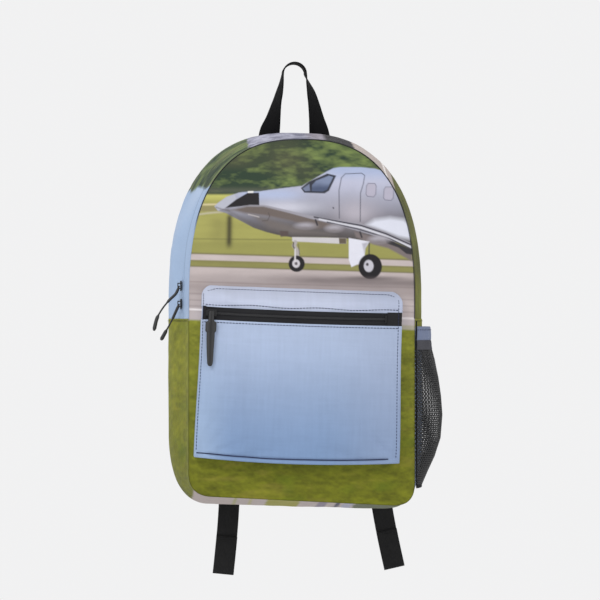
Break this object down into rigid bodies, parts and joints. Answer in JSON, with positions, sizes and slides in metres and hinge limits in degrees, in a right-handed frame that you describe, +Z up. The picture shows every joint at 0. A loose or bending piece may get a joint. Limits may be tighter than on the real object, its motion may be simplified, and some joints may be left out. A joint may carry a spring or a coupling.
{
  "type": "flight bag",
  "caption": "Printed cloth daypack with a zipped main compartment, zipped front pocket, net bottle pocket, carry handle and padded shoulder straps.",
  "frame": {"origin": "The inside of the top of the carry handle's loop, where a hook holds the bag.", "axes": "+Z is up, -Y is the bag's front, where the zipped pocket is, and +X is the side with the net pocket."},
  "size_m": [0.3447, 0.1902, 0.616],
  "materials": {
    "front_print": "printed polyester",
    "gusset_print": "printed polyester",
    "side_print": "printed polyester",
    "bottom_print": "printed polyester",
    "lining_cloth": "thin woven lining",
    "binding_tape": "woven tape",
    "zip_tape": "woven tape",
    "zip_coil": "nylon coil",
    "zip_stop": "moulded",
    "foam": "closed-cell foam",
    "black_cloth": "woven polyester",
    "spacer_mesh": "air mesh",
    "sleeve_cloth": "padded cloth",
    "pocket_cloth": "plain polyester",
    "slider_metal": "black enamel",
    "pull_rubber": "moulded, matt",
    "webbing": "woven polypropylene",
    "lock_plastic": "acetal",
    "net": "stretch net",
    "elastic": "woven elastic"
  },
  "bodies": {
    "shell": {"adjuster_webbing_left": "webbing", "adjuster_webbing_right": "webbing", "back_foam": "foam", "back_lining": "lining_cloth", "back_panel": "black_cloth", "back_seam_binding": "binding_tape", "bottle_band": "pocket_cloth", "bottle_elastic": "elastic", "bottle_net": "net", "bottom_panel": "bottom_print", "corner_tabs": "black_cloth", "front_gusset_ends": "gusset_print", "front_panel": "front_print", "front_seam_binding": "binding_tape", "handle_ends": "webbing", "laptop_sleeve": "sleeve_cloth", "lining": "lining_cloth", "pocket_face": "pocket_cloth", "pocket_gusset": "pocket_cloth", "pocket_top": "pocket_cloth", "pocket_zip_coil": "zip_coil", "pocket_zip_tabs": "zip_tape", "pocket_zip_tapes": "zip_tape", "rear_gusset": "gusset_print", "side_panel_left": "side_print", "side_panel_right": "side_print", "sleeve_binding": "binding_tape", "sleeve_gusset": "sleeve_cloth", "strap_patch": "black_cloth", "zip_coil_body": "zip_coil", "zip_end_stops": "zip_stop", "zip_tape_body": "zip_tape"},
    "flap": {"flap_panel": "front_print", "flap_gusset": "gusset_print", "flap_lining": "lining_cloth", "flap_seam_binding": "binding_tape", "zip_tape_flap": "zip_tape", "zip_coil_flap": "zip_coil"},
    "handle": {"carry_handle": "webbing"},
    "upper_slider_body": {"upper_slider": "slider_metal"},
    "lower_slider_body": {"lower_slider": "slider_metal"},
    "upper_pull_body": {"upper_pull": "pull_rubber"},
    "lower_pull_body": {"lower_pull": "pull_rubber"},
    "pocket_slider_body": {"pocket_slider": "slider_metal"},
    "pocket_pull_body": {"pocket_pull": "pull_rubber"},
    "strap_left": {"strap_foam_left": "foam", "strap_cover_left": "black_cloth", "strap_lining_left": "spacer_mesh", "strap_binding_left": "binding_tape", "strap_webbing_left": "webbing"},
    "lock_left": {"ladder_lock_left": "lock_plastic"},
    "tail_body_left": {"tail_left": "webbing"},
    "strap_right": {"strap_foam_right": "foam", "strap_cover_right": "black_cloth", "strap_lining_right": "spacer_mesh", "strap_binding_right": "binding_tape", "strap_webbing_right": "webbing"},
    "lock_right": {"ladder_lock_right": "lock_plastic"},
    "tail_body_right": {"tail_right": "webbing"}
  },
  "joints": [
    {"name": "handle_lean", "type": "hinge", "parent": "shell", "child": "handle", "pos_m": [0, 0.004, -0.0875], "axis": [1, 0, 0], "range_deg": [-60, 60]},
    {"name": "flap_fold", "type": "hinge", "parent": "shell", "child": "flap", "pos_m": [0, -0.1198, -0.258], "axis": [1, 0, 0], "range_deg": [0, 70]},
    {"name": "upper_slider_run", "type": "slide", "parent": "shell", "child": "upper_slider_body", "axis": [0, 0, 1], "range_m": [0, 0.05]},
    {"name": "upper_pull_swing", "type": "hinge", "parent": "upper_slider_body", "child": "upper_pull_body", "pos_m": [-0.14045, -0.088, -0.268], "axis": [0, 1, 0], "range_deg": [0, 50]},
    {"name": "lower_slider_run", "type": "slide", "parent": "shell", "child": "lower_slider_body", "axis": [0, 0, 1], "range_m": [-0.006, 0.007]},
    {"name": "lower_pull_swing", "type": "hinge", "parent": "lower_slider_body", "child": "lower_pull_body", "pos_m": [-0.14045, -0.088, -0.289], "axis": [0, 1, 0], "range_deg": [0, 40]},
    {"name": "pocket_slider_run", "type": "slide", "parent": "shell", "child": "pocket_slider_body", "axis": [0.9994, 0, -0.0349], "range_m": [0, 0.19]},
    {"name": "pocket_pull_swing", "type": "hinge", "parent": "pocket_slider_body", "child": "pocket_pull_body", "pos_m": [-0.10562, -0.15165, -0.29941], "axis": [0.9994, 0, -0.0349], "range_deg": [-80, 0]},
    {"name": "strap_swing_left", "type": "hinge", "parent": "shell", "child": "strap_left", "pos_m": [0, 0.0176, -0.116], "axis": [1, 0, 0], "range_deg": [0, 20]},
    {"name": "lock_turn_left", "type": "hinge", "parent": "strap_left", "child": "lock_left", "pos_m": [-0.076, 0.021, -0.434], "axis": [1, 0, 0], "range_deg": [0, 35]},
    {"name": "tail_swing_left", "type": "hinge", "parent": "lock_left", "child": "tail_body_left", "pos_m": [-0.076, 0.021, -0.447], "axis": [1, 0, 0], "range_deg": [0, 60]},
    {"name": "strap_swing_right", "type": "hinge", "parent": "shell", "child": "strap_right", "pos_m": [0, 0.0176, -0.116], "axis": [1, 0, 0], "range_deg": [0, 20]},
    {"name": "lock_turn_right", "type": "hinge", "parent": "strap_right", "child": "lock_right", "pos_m": [0.098, 0.021, -0.434], "axis": [1, 0, 0], "range_deg": [0, 35]},
    {"name": "tail_swing_right", "type": "hinge", "parent": "lock_right", "child": "tail_body_right", "pos_m": [0.098, 0.021, -0.447], "axis": [1, 0, 0], "range_deg": [0, 60]}
  ]
}
